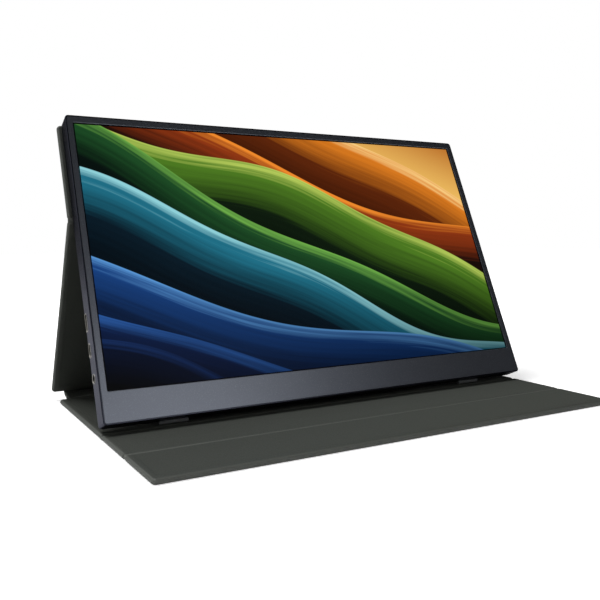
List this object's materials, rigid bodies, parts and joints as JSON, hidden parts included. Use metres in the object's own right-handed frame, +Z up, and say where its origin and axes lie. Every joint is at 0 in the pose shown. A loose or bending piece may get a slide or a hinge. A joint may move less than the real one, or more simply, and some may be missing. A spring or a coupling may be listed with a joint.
{
  "type": "portable monitor",
  "caption": "Thin wide-screen portable monitor leaning on its folded cover stand, with side sockets, side keys and a flap in front.",
  "frame": {"origin": "on the table, at the middle of the part's bounding box in plan", "axes": "+X along the screen to the right as seen by the user, the screen faces -Y, +Z up"},
  "size_m": [0.361, 0.2296, 0.2122],
  "materials": {
    "cover_leather": "fine grained, matte",
    "cover_lining": "smooth, matte",
    "cover_board": "glass fibre board",
    "cover_magnet": "nickel plated",
    "housing_metal": "dark blue grey anodised",
    "front_plate": "satin black",
    "screen_glass": "low reflection coating",
    "optical_film": "frosted",
    "light_guide": "clear acrylic",
    "reflector": "white film",
    "tray_metal": "bare pressed sheet",
    "circuit_board": "green solder mask",
    "light_bar": "white board with diodes",
    "amber_film": "polyimide",
    "plated_steel": "nickel plated",
    "black_plastic": "moulded",
    "wire_jacket": "soft insulation",
    "key_plastic": "satin",
    "foot_rubber": "matt"
  },
  "bodies": {
    "base": {"base_skin": "cover_leather", "base_rear_board": "cover_board", "base_middle_board": "cover_board", "spine_board": "cover_board", "base_lining": "cover_lining", "foot_fold_strip": "cover_leather"},
    "leg": {"leg_skin": "cover_leather", "leg_board": "cover_board", "leg_lining": "cover_lining", "crease_fold_strip": "cover_leather"},
    "monitor": {"front_bezel": "front_plate", "rear_housing": "housing_metal", "lcd_cell": "screen_glass", "optical_films": "optical_film", "light_guide": "light_guide", "reflector_sheet": "reflector", "backlight_tray": "tray_metal", "led_bar": "light_bar", "panel_driver_board": "circuit_board", "driver_flexes": "amber_film", "main_board": "circuit_board", "board_screws": "plated_steel", "mini_hdmi_port": "plated_steel", "usb_c_port": "plated_steel", "headphone_jack": "black_plastic", "speaker_left": "black_plastic", "speaker_right": "black_plastic", "speaker_wires": "wire_jacket", "button_cable": "amber_film", "display_cable": "amber_film", "button_board": "circuit_board", "side_switches": "black_plastic", "rubber_feet": "foot_rubber", "housing_plates": "plated_steel", "upper_back_skin": "cover_leather", "upper_back_board": "cover_board", "upper_back_lining": "cover_lining", "upper_back_magnets": "cover_magnet"},
    "front_flap": {"front_flap_skin": "cover_leather", "front_flap_board": "cover_board", "front_flap_lining": "cover_lining", "front_flap_magnets": "cover_magnet", "front_fold_strip": "cover_leather"},
    "power_button": {"power_button": "key_plastic"},
    "menu_rocker": {"menu_rocker": "key_plastic"}
  },
  "joints": [
    {"name": "stand_fold", "type": "hinge", "parent": "base", "child": "leg", "pos_m": [0, 0.11376, 0.0053], "axis": [1, 0, 0], "range_deg": [-13, 8.5], "deforming": ["foot_fold_strip"]},
    {"name": "crease_fold", "type": "hinge", "parent": "leg", "child": "monitor", "pos_m": [0, 0.05055, 0.1373], "axis": [1, 0, 0], "range_deg": [-17, 26], "deforming": ["crease_fold_strip"]},
    {"name": "front_flap_fold", "type": "hinge", "parent": "base", "child": "front_flap", "pos_m": [0, -0.06556, 0.0017], "axis": [-1, 0, 0], "range_deg": [0, 105], "deforming": ["front_fold_strip"]},
    {"name": "power_press", "type": "slide", "parent": "monitor", "child": "power_button", "axis": [-1, 0, 0], "range_m": [0, 0.0004], "stiffness_N_per_m": 4000},
    {"name": "menu_rock", "type": "hinge", "parent": "monitor", "child": "menu_rocker", "pos_m": [0.1743, 0.01158, 0.0649], "axis": [0, -0.9135, 0.4067], "range_deg": [-4, 4], "stiffness_Nm_per_rad": 0.11}
  ],
  "couplings": [
    {"joint": "crease_fold", "follows": "stand_fold", "ratio": -2}
  ]
}
